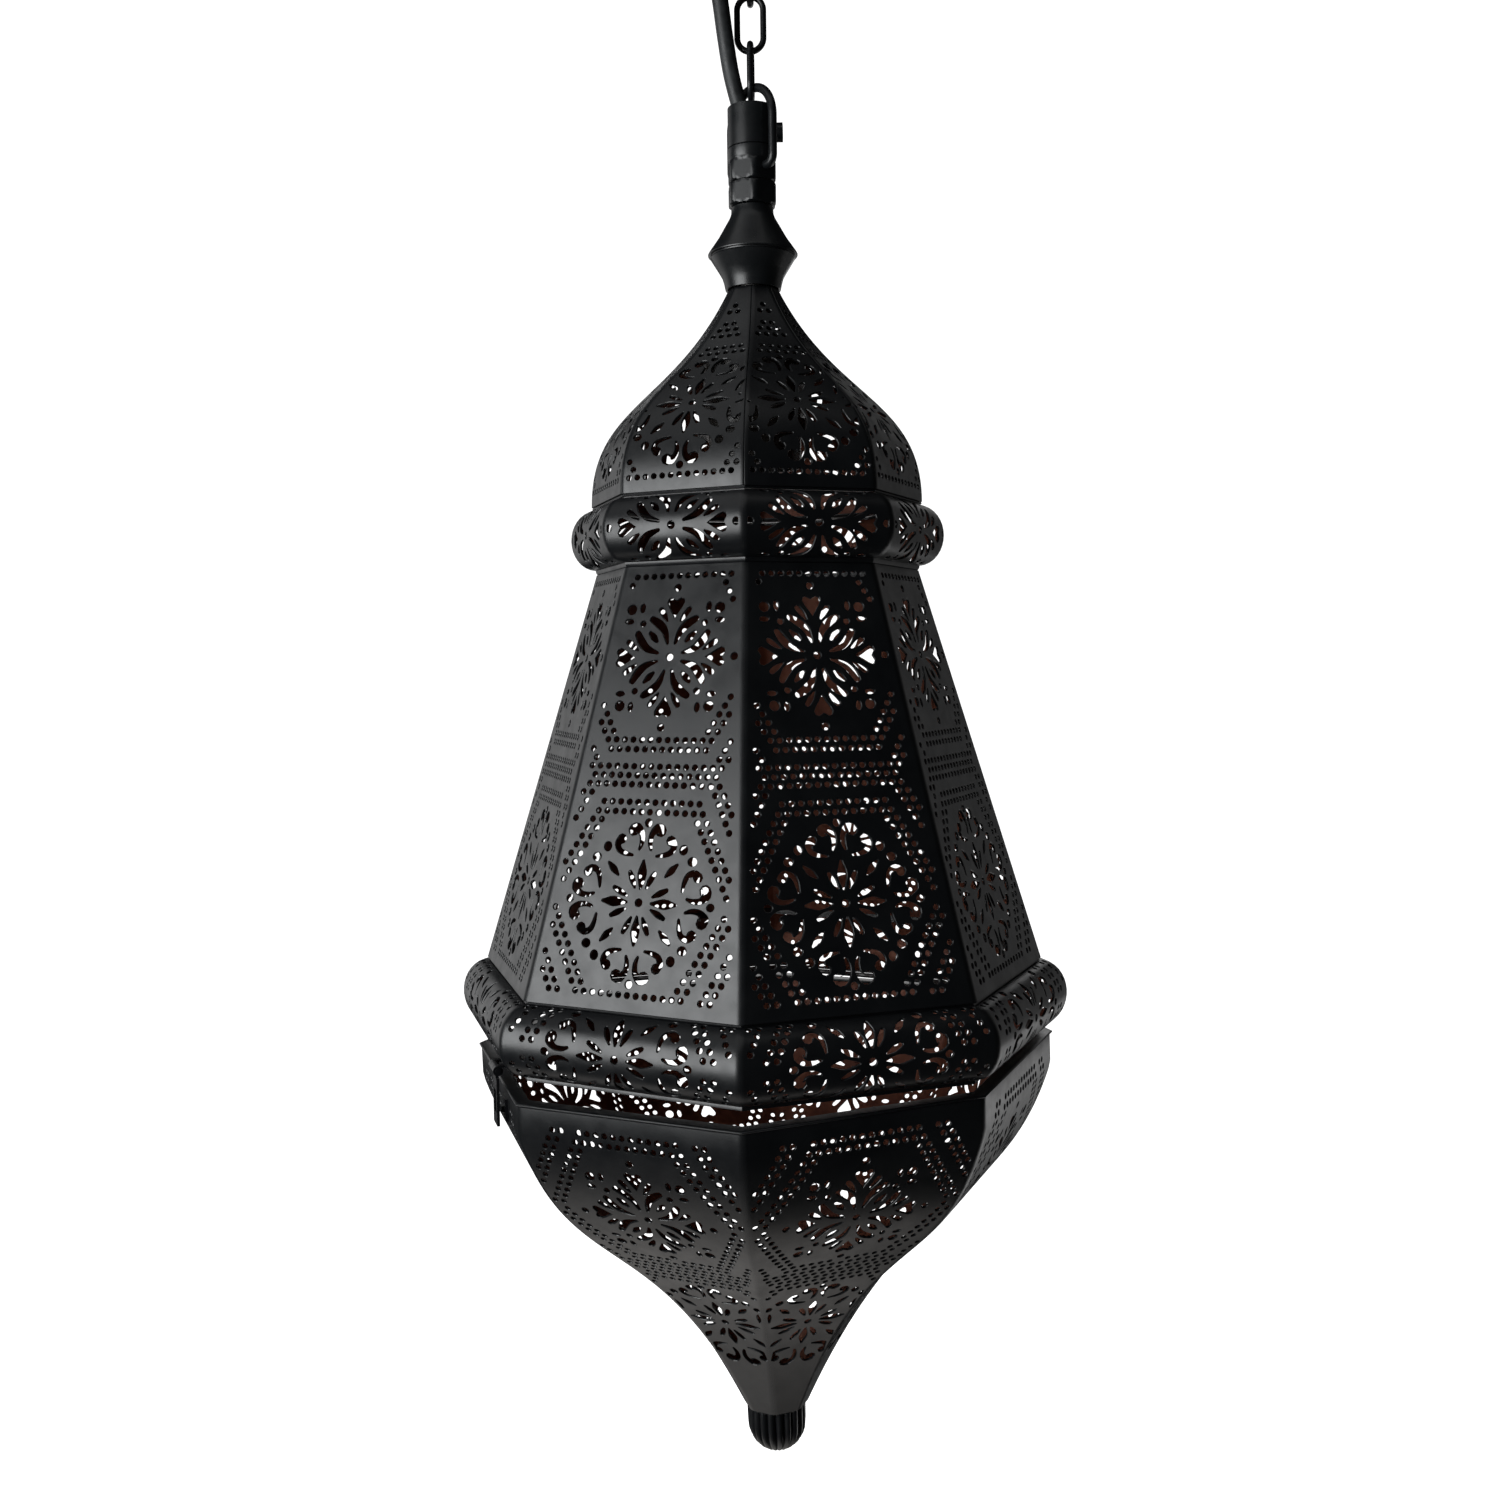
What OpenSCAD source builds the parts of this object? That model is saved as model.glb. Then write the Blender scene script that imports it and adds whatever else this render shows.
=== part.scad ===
// Hanging octagonal lantern of pierced black sheet steel, on a short chain below a
// ceiling canopy. The ogee basket at its foot is a hinged door, opened to reach the
// E27 lampholder in the dome. Millimetres, +Z up. The origin is the middle of the
// canopy's bracket, where it lies against the ceiling. One corner faces -Y.
//
// The lantern's own heights are measured from the lower edge of the main body
// panels, and hang() lowers them by drop. Radii of the octagon are over its corners.

/* [Sheet metal] */
// Thickness of the steel sheet
sheet = 0.8; // [0.6:0.1:0.9]
// Width of each soldered corner seam
seam = 0.1; // [0.06:0.02:0.2]

/* [Main body] */
// Radius at the top edge
body_top_r = 61.4; // [60:0.2:62]
// Radius at the bottom edge
body_bottom_r = 107; // [105:0.5:108]
// Height from the bottom edge to the top edge
body_h = 147; // [140:1:147]

/* [Half-round rings] */
// How far the upper ring stands out
upper_ring_out = 9.4; // [8:0.2:10]
// Height of the upper ring
upper_ring_h = 22.6; // [20:0.2:22.6]
// How far the lower ring stands out
lower_ring_out = 10.5; // [9:0.5:11]
// Height of the lower ring
lower_ring_h = 24.8; // [22:0.2:24.8]

/* [Door] */
// Angle at which the door hangs ajar
ajar = 1.7; // [0:0.1:3]
// Radius of the door's wall
door_r = 110.3; // [109:0.1:110.3]
// Gap between the lower frame and the shut door
door_gap = 1.6; // [1.5:0.1:2.5]

/* [Chain and hanger] */
// Wire diameter of a chain link
link_wire = 2.3; // [2:0.1:2.4]
// Outside length of a chain link
link_l = 22; // [21:0.5:22]
// Outside width of a chain link
link_w = 12; // [11.6:0.1:13]
// Wire diameter of the bail
bail_wire = 3.2; // [2.8:0.1:3.2]
// Height of the bail above its pivots
bail_h = 29.8; // [29:0.1:31]
// Radius of the bail's bow, to the middle of its wire
bail_r = 13; // [12.6:0.1:13.5]

/* [Canopy] */
// Diameter of the ceiling canopy
canopy_d = 90; // [86:1:110]
// Height of the ceiling canopy
canopy_h = 25; // [24:0.5:25]
// Distance between the two ceiling screws
bolt_spacing = 72; // [68:1:74]

/* [Cord] */
// Diameter of the cord
cord_d = 6; // [5:0.5:6]

/* [Hidden] */

$fn = 48;
steel = [0.07, 0.075, 0.08];
bare = [0.55, 0.55, 0.53];
bakelite = [0.05, 0.05, 0.05];
ceramic = [0.9, 0.89, 0.85];

// Ceiling height above the lower edge of the body panels
drop = 413;
// Half the angle between two corners of the octagon
half = 22.5;
// A length that is longer than any panel is wide
wide = 300;
// Running clearance of pins in their holes
run = 0.05;

// Heights of the hanger and dome, from the lower edge of the body panels
rim_z = 171.5;
collar_z = 252.2;
collar_top_z = 282.5;
nut_top_z = 291;
hex_top_z = 299;
flange_top_z = 303.7;
grip_top_z = 318.4;
pivot_z = 295.9;
hex_r = 9.8;
nipple_r = 5;
bail_turn = -50;
pin_end = 5.8;

// Door: heights with the door shut, and the hinge's axis
frame_z = -lower_ring_h - 1.6;
door_z = frame_z - door_gap;
hinge_face = 3;
hinge_a = 105;
hinge_z = door_z - 1.2;
knuckle_r = 2.2;
pin_r = 1.2;
latch_face = 7;
latch_along = 16;
latch_a = 104.9;
latch_z = frame_z - 2.1;

// Cord: from the lampholder up through the nipple and the grip, beside the chain,
// through the canopy's bush and into the terminal block
cord_route = [[0, 0, -185], [0, 0, -170], [0, 0, -155], [0, 0, -140], [0, 0, -128],
    [-0.5, 0, -115], [-1.5, 0, -108], [-2.8, 0, -101], [-4, -0.5, -95], [-7, -3, -83],
    [-9, -5, -70], [-11, -6, -55], [-14, -6, -43], [-17, -5, -34], [-19, -5, -26],
    [-19, -5, -13]];
cord_sides = 10;

function apothem(r) = r * cos(half);
function face_angle(k) = -67.5 + 45 * (k - 1);

// Cubic curve through the first and last of four points
function curve_point(p, t) = pow(1 - t, 3) * p[0] + 3 * pow(1 - t, 2) * t * p[1]
    + 3 * (1 - t) * t * t * p[2] + t * t * t * p[3];
function curve(p, steps) = [for (i = [0:steps]) curve_point(p, i / steps)];
function flats(c) = [for (q = c) [apothem(q[0]), q[1]]];

// The curve moved sideways, to the right of its direction
function along(c, i) = c[min(i + 1, len(c) - 1)] - c[max(i - 1, 0)];
function right_of(d) = [d[1], -d[0]] / norm(d);
function moved(c, by) = [for (i = [0:len(c) - 1]) c[i] + by * right_of(along(c, i))];
function reversed(c) = [for (i = [len(c) - 1:-1:0]) c[i]];
function skin(c) = concat(c, reversed(moved(c, sheet)));

// Half of an oval that bulges outwards, from its top to its bottom
function half_oval(r, z, out, h) =
    [for (t = [90:-15:-90]) [r + out * cos(t), z + h / 2 * sin(t)]];

dome_curve = flats(curve([[9.8, 252], [30.9, 210.4], [62.9, 210.9], [62.9, 172.4]], 14));
door_curve = flats(concat([[door_r, door_z - 1.2]],
    curve([[door_r, -40.5], [92, -97], [55.6, -85.5], [13, -173]], 18)));
upper_ring_curve = flats(half_oval(body_top_r + 0.2, body_h + 1.6 + upper_ring_h / 2,
    upper_ring_out, upper_ring_h));
lower_ring_curve = flats(half_oval(body_bottom_r - 0.7, -0.8 - lower_ring_h / 2,
    lower_ring_out, lower_ring_h));

module hang() translate([0, 0, -drop]) children();

// Turns local +X to the middle of face k
module at_face(k) rotate([0, 0, face_angle(k)]) children();

// Lantern door parts are drawn shut, and swung ajar about the hinge
module door_ajar() {
    h = [hinge_a * cos(face_angle(hinge_face)), hinge_a * sin(face_angle(hinge_face)), hinge_z];
    v = [sin(face_angle(hinge_face)), -cos(face_angle(hinge_face)), 0];
    translate(h) rotate(a = ajar, v = v) translate(-h) children();
}

// The eighth part of space behind one face, less half a seam at each side
module wedge()
    translate([seam / 2 / sin(half), 0, -wide])
        linear_extrude(3 * wide)
            polygon([[0, 0], [wide, wide * tan(half)], [wide, -wide * tan(half)]]);

// Sheet bent along an outline in the X-Z plane and mitred at both corners
module bent_sheet(outline)
    intersection() {
        rotate([90, 0, 0]) linear_extrude(wide, center = true) polygon(skin(outline));
        wedge();
    }

module octagon_plate(outer_r, inner_r, z, h)
    translate([0, 0, z]) linear_extrude(h) difference() {
        circle(r = outer_r, $fn = 8);
        circle(r = inner_r, $fn = 8);
    }

module hole(r, h, z = 0) translate([0, 0, z]) cylinder(r = r, h = h);
module hexagon(r, h) rotate([0, 0, bail_turn + 30]) cylinder(r = r, h = h, $fn = 6);

// Slot with round ends, its long side along Y
module slot(w, l) {
    square([w, l - w], center = true);
    for (s = [-1, 1]) translate([0, s * (l - w) / 2]) circle(d = w, $fn = 24);
}
module dots(count, pitch, d)
    for (i = [0:count - 1]) translate([(i - (count - 1) / 2) * pitch, 0]) circle(d = d, $fn = 16);
module rosette(count, r, w, l)
    for (i = [0:count - 1]) rotate(i * 360 / count) translate([0, r]) slot(w, l);

/* ---- ceiling canopy ---- */
module ceiling_canopy() color(steel) {
    r = canopy_d / 2;
    bend = 11;
    floor_z = -canopy_h;
    outer = concat([[r, 0]], [for (t = [0:-15:-90]) [r - bend + bend * cos(t),
        floor_z + bend + bend * sin(t)]], [[4, floor_z]]);
    inner = concat([[4, floor_z + 0.8]], [for (t = [-90:15:0]) [r - bend + (bend - 0.8) * cos(t),
        floor_z + bend + (bend - 0.8) * sin(t)]], [[r - 0.8, 0]]);
    difference() {
        rotate_extrude() polygon(concat(outer, inner));
        translate([-19, -5, floor_z - 1]) cylinder(r = 5.1, h = 3);
        for (s = [-1, 1]) translate([s * r, 0, -7]) rotate([0, 90, 0])
            cylinder(r = 2.1, h = 6, center = true);
    }
}

// Folded strip: two pads on the ceiling, a lowered middle for the eye's nut, and
// two ears for the canopy's side screws
module canopy_bracket() color(bare) {
    r = canopy_d / 2 - 1.8;
    t = 1.6;
    difference() {
        union() {
            for (s = [-1, 1]) {
                translate([s * (r + 9) / 2, 0, -t / 2]) cube([r - 9, 16, t], center = true);
                translate([s * (9 + t / 2), 0, -11.6 / 2]) cube([t, 16, 11.6], center = true);
                translate([s * (r - t / 2), 0, -6]) cube([t, 16, 12], center = true);
            }
            translate([0, 0, -11.6 + t / 2]) cube([20, 16, t], center = true);
        }
        translate([0, 0, -15]) cylinder(r = 3.1, h = 10);
        for (s = [-1, 1]) {
            translate([s * bolt_spacing / 2, 0, -3]) cylinder(r = 2.25, h = 5);
            translate([s * r, 0, -7]) rotate([0, 90, 0]) cylinder(r = 1.65, h = 6, center = true);
        }
    }
}

module canopy_screws() color(steel)
    for (s = [0, 180]) rotate([0, 0, s]) {
        translate([canopy_d / 2 + 0.1, 0, -7]) rotate([0, 90, 0]) difference() {
            rotate_extrude() polygon([[0, 0], [3.6, 0], [3.3, 1.3], [2, 2.1], [0, 2.3]]);
            translate([-4, -0.5, 1.3]) cube([8, 1, 2]);
        }
        translate([canopy_d / 2 - 6, 0, -7]) rotate([0, 90, 0]) cylinder(r = 1.6, h = 6.2);
    }

link_slack = 0.9;
link_pitch = link_l - 2 * link_wire - 0.1;
bail_top_z = pivot_z + bail_h + bail_wire / 2;
link_1_z = bail_top_z - bail_wire - link_slack - link_wire;
eye_wire = 3;
eye_r = 6;
eye_z = link_1_z + 2 * link_pitch + link_l - link_wire - 0.1 - eye_wire / 2;

// Eye with a threaded stem, its eye in the X-Z plane
module canopy_eye() color(steel) {
    hang() translate([0, 0, eye_z + eye_r]) {
        rotate([90, 0, 0]) rotate_extrude() translate([eye_r, 0]) circle(d = eye_wire, $fn = 24);
        translate([0, 0, eye_r]) cylinder(r = 3, h = drop - eye_z - 2 * eye_r - 4);
    }
}
module eye_nut() color(bare) translate([0, 0, -9.9]) difference() {
    cylinder(r = 5.8, h = 5, $fn = 6);
    hole(3.05, 7, -1);
}
module cord_bush() color(bakelite) translate([-19, -5, -canopy_h]) rotate_extrude()
    polygon([[3.2, -2], [6.6, -2], [7.2, -1.2], [7.2, -0.1], [5, -0.1], [5, 3], [3.2, 3]]);
module terminal_block() color(ceramic) difference() {
    translate([-26, -11, -12.9]) cube([13.5, 12, 9.9]);
    for (x = [-22.5, -16]) translate([x, -5, -6]) cylinder(r = 1.5, h = 5);
}

/* ---- chain and hanger ---- */
module link(z, turn) color(steel) hang() translate([0, 0, z + link_l / 2]) rotate([90, 0, turn]) {
    r = (link_w - link_wire) / 2;
    straight = link_l - link_w;
    for (s = [0, 180]) rotate([0, 0, s]) translate([0, straight / 2, 0])
        rotate_extrude(angle = 180) translate([r, 0]) circle(d = link_wire, $fn = 24);
    for (s = [-1, 1]) translate([s * r, -straight / 2, 0]) rotate([-90, 0, 0])
        cylinder(d = link_wire, h = straight, $fn = 24);
}
module chain_link_1() link(link_1_z, 90);
module chain_link_2() link(link_1_z + link_pitch, 0);
module chain_link_3() link(link_1_z + 2 * link_pitch, 90);

// Bail: a half circle, two straight legs, and two ends bent inwards into the
// hexagon's side holes. It is drawn upright in its own plane, from the pivot up.
module hanger_bail() color(steel) hang() translate([0, 0, pivot_z])
    rotate([0, 0, bail_turn]) rotate([90, 0, 0]) {
        bend = 3;
        translate([0, bail_h - bail_r, 0]) wire_arc(bail_r, 180);
        for (s = [0, 1]) mirror([s, 0, 0]) {
            translate([bail_r, bend, 0]) wire(bail_h - bail_r - bend);
            translate([bail_r - bend, bend, 0]) rotate([0, 0, -90]) wire_arc(bend, 90);
            translate([pin_end, 0, 0]) rotate([0, 0, -90]) wire(bail_r - bend - pin_end);
        }
    }
module wire_arc(r, angle) rotate_extrude(angle = angle) translate([r, 0])
    circle(d = bail_wire, $fn = 24);
module wire(l) rotate([-90, 0, 0]) cylinder(d = bail_wire, h = l, $fn = 24);

module hanger_body() color(steel) hang() difference() {
    union() {
        translate([0, 0, nut_top_z + 0.1]) hexagon(hex_r, hex_top_z - nut_top_z);
        hole(9.2, flange_top_z - hex_top_z, hex_top_z);
    }
    hole(nipple_r + 0.1, 8, 290);
    hole(4.3, 20, 290);
    translate([0, 0, pivot_z]) rotate([0, 0, bail_turn]) for (s = [0, 180]) rotate([0, 0, s])
        translate([5.5, 0, 0]) rotate([0, 90, 0]) cylinder(r = bail_wire / 2 + run, h = 8);
}

module cord_grip() color(steel) hang() difference() {
    hole(8.85, grip_top_z - flange_top_z - 0.1, flange_top_z + 0.1);
    hole(7.3, 20, flange_top_z + 1.5);
    hole(4.6, 20, flange_top_z - 1);
    translate([4, 0, 309.7]) rotate([0, 90, 0]) cylinder(r = 1.6, h = 8);
}
module grip_screw() color(steel) hang() translate([0, 0, 309.7]) rotate([0, 90, 0]) {
    hole(1.6 - run, 9, 1);
    difference() {
        hole(3.45, 2.7, 8.95);
        translate([-5, -0.5, 10.6]) cube([10, 1, 3]);
    }
}
module lock_nut() color(steel) hang() difference() {
    translate([0, 0, collar_top_z + 0.1]) hexagon(hex_r, nut_top_z - collar_top_z - 0.1);
    hole(nipple_r + 0.1, 20, 280);
}
module threaded_nipple() color(bare) hang() difference() {
    hole(nipple_r, 68.9, 229);
    hole(3.6, 80, 225);
}

/* ---- dome ---- */
module collar() color(steel) hang() {
    outer = [[5.2, collar_top_z], [7.8, collar_top_z], [7.9, 280], [9.5, 276.7], [12.9, 270.8],
        [16.8, 265.4], [16.8, 264.7], [12.9, 259], [11.3, 256], [10.4, collar_z]];
    rotate_extrude() polygon(skin(outer));
}
module fixing_nut() color(bare) hang() difference() {
    union() {
        hole(10.5, 1.5, 245);
        translate([0, 0, 240.5]) hexagon(8.6, 4.6);
    }
    hole(nipple_r + 0.1, 20, 235);
}
module dome_holes() {
    for (z = [228, 240]) translate([0, 0, z]) rotate([0, 90, 0]) cylinder(r = 1.2, h = 90);
    for (y = [-14:7:14]) translate([0, y, 182]) rotate([0, 90, 0]) cylinder(r = 1.2, h = 90);
    for (t = [0:60:300]) translate([0, 9 * cos(t), 200 + 7 * sin(t)]) rotate([0, 90, 0])
        cylinder(r = 1.6, h = 90);
}
module dome_panel(k) color(steel) hang() at_face(k) difference() {
    bent_sheet(dome_curve);
    dome_holes();
}
module dome_rim() color(steel) hang() octagon_plate(62.4, 54, rim_z, sheet);

/* ---- rings and main body ---- */
module upper_ring() color(steel) hang() for (k = [1:8]) at_face(k) bent_sheet(upper_ring_curve);
module lower_ring() color(steel) hang() for (k = [1:8]) at_face(k) bent_sheet(lower_ring_curve);

body_lean = atan2(apothem(body_bottom_r - body_top_r), body_h);
body_slant = body_h / cos(body_lean);
corner_inset = sheet * tan(half) + seam / 2;

// Pierced field of one body panel: a flower above, a rosette below, rows of dots
module body_holes() {
    translate([0, body_slant - 33]) {
        circle(d = 3, $fn = 24);
        rosette(8, 9, 2.4, 8);
        rosette(4, 18, 6, 7);
    }
    translate([0, 36]) {
        circle(d = 3, $fn = 24);
        rosette(4, 9.5, 3.4, 10);
        rotate(45) rosette(4, 9, 2.4, 6);
        rosette(4, 26, 3.4, 3.6);
    }
    translate([0, body_slant - 4.6]) dots(13, 3.3, 2);
    translate([0, body_slant - 62]) dots(13, 3.3, 2);
    translate([0, body_slant - 74]) dots(15, 3.3, 2);
    translate([0, body_slant - 86]) dots(13, 3.3, 2);
    translate([0, 5.3]) dots(13, 3.3, 2);
}
module body_panel(k) color(steel) hang() at_face(k)
    translate([apothem(body_bottom_r), 0, 0]) rotate([0, -body_lean, 0]) rotate([90, 0, 90])
        translate([0, 0, -sheet]) linear_extrude(sheet) difference() {
            b = body_bottom_r * sin(half) - corner_inset;
            t = body_top_r * sin(half) - corner_inset;
            polygon([[-b, 0], [b, 0], [t, body_slant], [-t, body_slant]]);
            body_holes();
        }
module lower_frame() color(steel) hang() octagon_plate(body_bottom_r - 0.7, 99.8, frame_z, sheet);

/* ---- lampholder ---- */
module lampholder_cap() color(bakelite) hang() rotate_extrude() polygon(concat(
    [[5.1, 239.8], [7.6, 239.8], [7.6, 236]],
    [for (t = [75:-15:0]) [9.3 + 10 * cos(t), 224 + 10.5 * sin(t)]],
    [[19.3, 214.1], [17.3, 214.1]],
    [for (t = [0:15:75]) [9.3 + 8 * cos(t), 222.5 + 8.5 * sin(t)]],
    [[5.1, 232.5]]));
module lampholder_body() color(bakelite) hang() rotate_extrude()
    polygon([[14, 186], [16.9, 186], [17.4, 186.6], [17.4, 205], [19.3, 205], [19.3, 214],
        [9, 214], [9, 207.5], [14, 207.5]]);
module lamp_contacts() color(ceramic) hang() {
    hole(8.9, 4, 210);
    hole(3, 2.2, 207.9);
}
module shade_ring() color(bakelite) hang() difference() {
    rotate_extrude() polygon([[17.45, 198], [21, 198], [21.6, 198.6], [21.6, 202.4], [21, 203], [17.45, 203]]);
    for (t = [0:30:330]) rotate([0, 0, t]) translate([22.2, 0, 197]) cylinder(r = 1.1, h = 8, $fn = 16);
}

/* ---- hinge and latch ---- */
module knuckle(r, bore, y0, y1) translate([0, y0, 0]) rotate([-90, 0, 0]) difference() {
    cylinder(r = r, h = y1 - y0);
    hole(bore, y1 - y0 + 2, -1);
}
module hinge_leaf_upper() color(steel) hang() at_face(hinge_face) translate([hinge_a, 0, hinge_z]) {
    for (s = [-1, 1]) difference() {
        union() {
            translate([0, s * 6.05 - 2.95, 0]) rotate([-90, 0, 0]) cylinder(r = knuckle_r, h = 5.9);
            translate([-6.5, s * 6.05 - 2.95, knuckle_r - 0.5]) cube([6.5, 5.9, 0.8]);
        }
        translate([0, s * 6.05 - 4, 0]) rotate([-90, 0, 0]) cylinder(r = pin_r + run, h = 8);
    }
    translate([-8.5, -9, knuckle_r - 0.5]) cube([2.2, 18, 0.8]);
}
module hinge_leaf_door() color(steel) hang() door_ajar() at_face(hinge_face)
    translate([hinge_a, 0, hinge_z]) {
        difference() {
            union() {
                translate([0, -3, 0]) rotate([-90, 0, 0]) cylinder(r = knuckle_r, h = 6);
                translate([-3, -3, -4]) cube([1, 6, 4]);
            }
            translate([0, -4, 0]) rotate([-90, 0, 0]) cylinder(r = pin_r + run, h = 8);
        }
        translate([-3, -9, -12]) cube([1, 18, 9]);
    }
module hinge_pin() color(bare) hang() at_face(hinge_face) translate([hinge_a, 0, hinge_z])
    rotate([-90, 0, 0]) {
        hole(pin_r, 19, -9.5);
        for (z = [-10.2, 9.1]) hole(1.7, 1.1, z);
    }
module at_latch() hang() at_face(latch_face) translate([latch_a, latch_along, latch_z]) children();
module latch_bracket() color(steel) at_latch() {
    difference() {
        union() {
            for (y = [-5.1, 2.7]) {
                translate([0, y, 0]) rotate([-90, 0, 0]) cylinder(r = 1.8, h = 2.4);
                translate([-6, y, 1.1]) cube([6, 2.4, 0.8]);
            }
            translate([-8, -5.1, 1.1]) cube([2.2, 10.2, 0.8]);
        }
        translate([0, -6, 0]) rotate([-90, 0, 0]) cylinder(r = 0.9, h = 12);
    }
    translate([0, -5.6, 0]) rotate([-90, 0, 0]) cylinder(r = 0.9, h = 11.2);
}
module latch_strap() color(steel) at_latch() difference() {
    union() {
        translate([0, -2.5, 0]) rotate([-90, 0, 0]) cylinder(r = 1.8, h = 5);
        translate([-0.5, -2.5, -4]) cube([1, 5, 4]);
        translate([-0.5, -4, -20]) cube([1, 8, 17]);
    }
    translate([0, -3, 0]) rotate([-90, 0, 0]) cylinder(r = 0.9 + run, h = 6);
    translate([-1, -2.2, -15.5]) cube([2, 4.4, 8]);
}
module latch_staple() color(steel) hang() door_ajar() at_face(latch_face)
    translate([apothem(door_r) + 0.05, latch_along, door_z - 9]) {
        translate([0, -4, -4]) cube([0.9, 8, 8]);
        translate([0, -1.5, -1]) cube([1.9, 3, 2]);
    }

/* ---- door ---- */
module door_rim() color(steel) hang() door_ajar() octagon_plate(111, 105.5, door_z - 1.1, 1.1);
module door_holes() {
    for (y = [-28:8:28]) translate([60, y, -35]) rotate([0, 90, 0]) cylinder(r = 1.2, h = 60);
    for (t = [0:60:300]) translate([40, 12 * cos(t), -66 + 9 * sin(t)]) rotate([0, 90, 0])
        cylinder(r = 1.6, h = 70);
}
module door_panel(k) color(steel) hang() door_ajar() at_face(k) difference() {
    bent_sheet(door_curve);
    door_holes();
}
module finial() color(steel) hang() door_ajar() translate([0, 0, -173.2]) difference() {
    rotate_extrude() polygon(concat([[11.5, 0]],
        [for (t = [0:-15:-90]) [11.5 * cos(t), -8 + 11.5 * sin(t)]],
        [for (t = [-90:15:0]) [10.5 * cos(t), -8 + 10.5 * sin(t)]], [[10.5, 0]]));
    for (t = [0:18:342]) rotate([0, 0, t]) translate([11.9, 0, -9]) cylinder(r = 0.9, h = 10, $fn = 16);
}

/* ---- cord ---- */
// Direction of the route at point i, and two directions across it
function route_dir(p, i) = let (d = p[min(i + 1, len(p) - 1)] - p[max(i - 1, 0)]) d / norm(d);
function across(d) = let (c = cross(d, [0, 1, 0])) c / norm(c);
module cord() color([0.03, 0.03, 0.03]) {
    count = len(cord_route);
    pts = [for (i = [0:count - 1]) let (d = route_dir(cord_route, i), u = across(d), v = cross(u, d))
        for (j = [0:cord_sides - 1]) cord_route[i] + cord_d / 2
            * (cos(360 * j / cord_sides) * u + sin(360 * j / cord_sides) * v)];
    sides = [for (i = [0:count - 2]) for (j = [0:cord_sides - 1]) let (k = (j + 1) % cord_sides)
        [i * cord_sides + j, i * cord_sides + k, (i + 1) * cord_sides + k, (i + 1) * cord_sides + j]];
    foot = [for (j = [cord_sides - 1:-1:0]) j];
    top = [for (j = [0:cord_sides - 1]) (count - 1) * cord_sides + j];
    polyhedron(points = pts, faces = concat([foot], sides, [top]), convexity = 4);
}

ceiling_canopy();
canopy_bracket();
canopy_screws();
canopy_eye();
eye_nut();
cord_bush();
terminal_block();
chain_link_1();
chain_link_2();
chain_link_3();
hanger_bail();
hanger_body();
cord_grip();
grip_screw();
lock_nut();
threaded_nipple();
collar();
fixing_nut();
dome_panel(1);  // dome_panel_1
dome_panel(2);  // dome_panel_2
dome_panel(3);  // dome_panel_3
dome_panel(4);  // dome_panel_4
dome_panel(5);  // dome_panel_5
dome_panel(6);  // dome_panel_6
dome_panel(7);  // dome_panel_7
dome_panel(8);  // dome_panel_8
dome_rim();
upper_ring();
body_panel(1);  // body_panel_1
body_panel(2);  // body_panel_2
body_panel(3);  // body_panel_3
body_panel(4);  // body_panel_4
body_panel(5);  // body_panel_5
body_panel(6);  // body_panel_6
body_panel(7);  // body_panel_7
body_panel(8);  // body_panel_8
lower_ring();
lower_frame();
lampholder_cap();
lampholder_body();
lamp_contacts();
shade_ring();
hinge_leaf_upper();
hinge_leaf_door();
hinge_pin();
latch_bracket();
latch_strap();
latch_staple();
door_rim();
door_panel(1);  // door_panel_1
door_panel(2);  // door_panel_2
door_panel(3);  // door_panel_3
door_panel(4);  // door_panel_4
door_panel(5);  // door_panel_5
door_panel(6);  // door_panel_6
door_panel(7);  // door_panel_7
door_panel(8);  // door_panel_8
finial();
cord();
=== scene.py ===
"""Hanging octagonal lantern of pierced black sheet steel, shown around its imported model.

Lengths below are millimetres and heights are measured from the lower edge of the main
body panels, as on the lantern itself, until to_frame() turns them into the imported
model's metres. One corner of the octagon faces -Y. The sheets are drawn flat, pierced,
and then bent round the lantern's outline, one panel for each of the eight faces.
"""

import math

import bpy
import numpy as np
from mathutils import Matrix, Vector
from mathutils.geometry import delaunay_2d_cdt


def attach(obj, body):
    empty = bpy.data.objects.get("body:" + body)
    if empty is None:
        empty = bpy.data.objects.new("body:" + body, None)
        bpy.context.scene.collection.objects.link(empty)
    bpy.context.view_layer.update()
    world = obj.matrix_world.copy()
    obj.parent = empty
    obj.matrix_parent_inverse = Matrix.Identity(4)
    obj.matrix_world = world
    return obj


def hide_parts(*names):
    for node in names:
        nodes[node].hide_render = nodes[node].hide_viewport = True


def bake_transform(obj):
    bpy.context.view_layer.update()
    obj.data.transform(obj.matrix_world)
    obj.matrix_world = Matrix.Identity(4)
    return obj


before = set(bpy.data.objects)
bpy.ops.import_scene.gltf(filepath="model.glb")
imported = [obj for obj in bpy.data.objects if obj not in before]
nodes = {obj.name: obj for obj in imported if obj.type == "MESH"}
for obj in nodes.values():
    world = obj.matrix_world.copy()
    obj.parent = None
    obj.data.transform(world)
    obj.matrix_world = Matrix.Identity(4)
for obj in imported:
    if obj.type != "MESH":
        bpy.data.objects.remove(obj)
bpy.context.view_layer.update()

MM = 0.001
DROP = 413.0  # ceiling height above the lower edge of the body panels
HALF = math.radians(22.5)  # half the angle between two corners
SHEET = 0.8

CORD_D = 6.0
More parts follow.
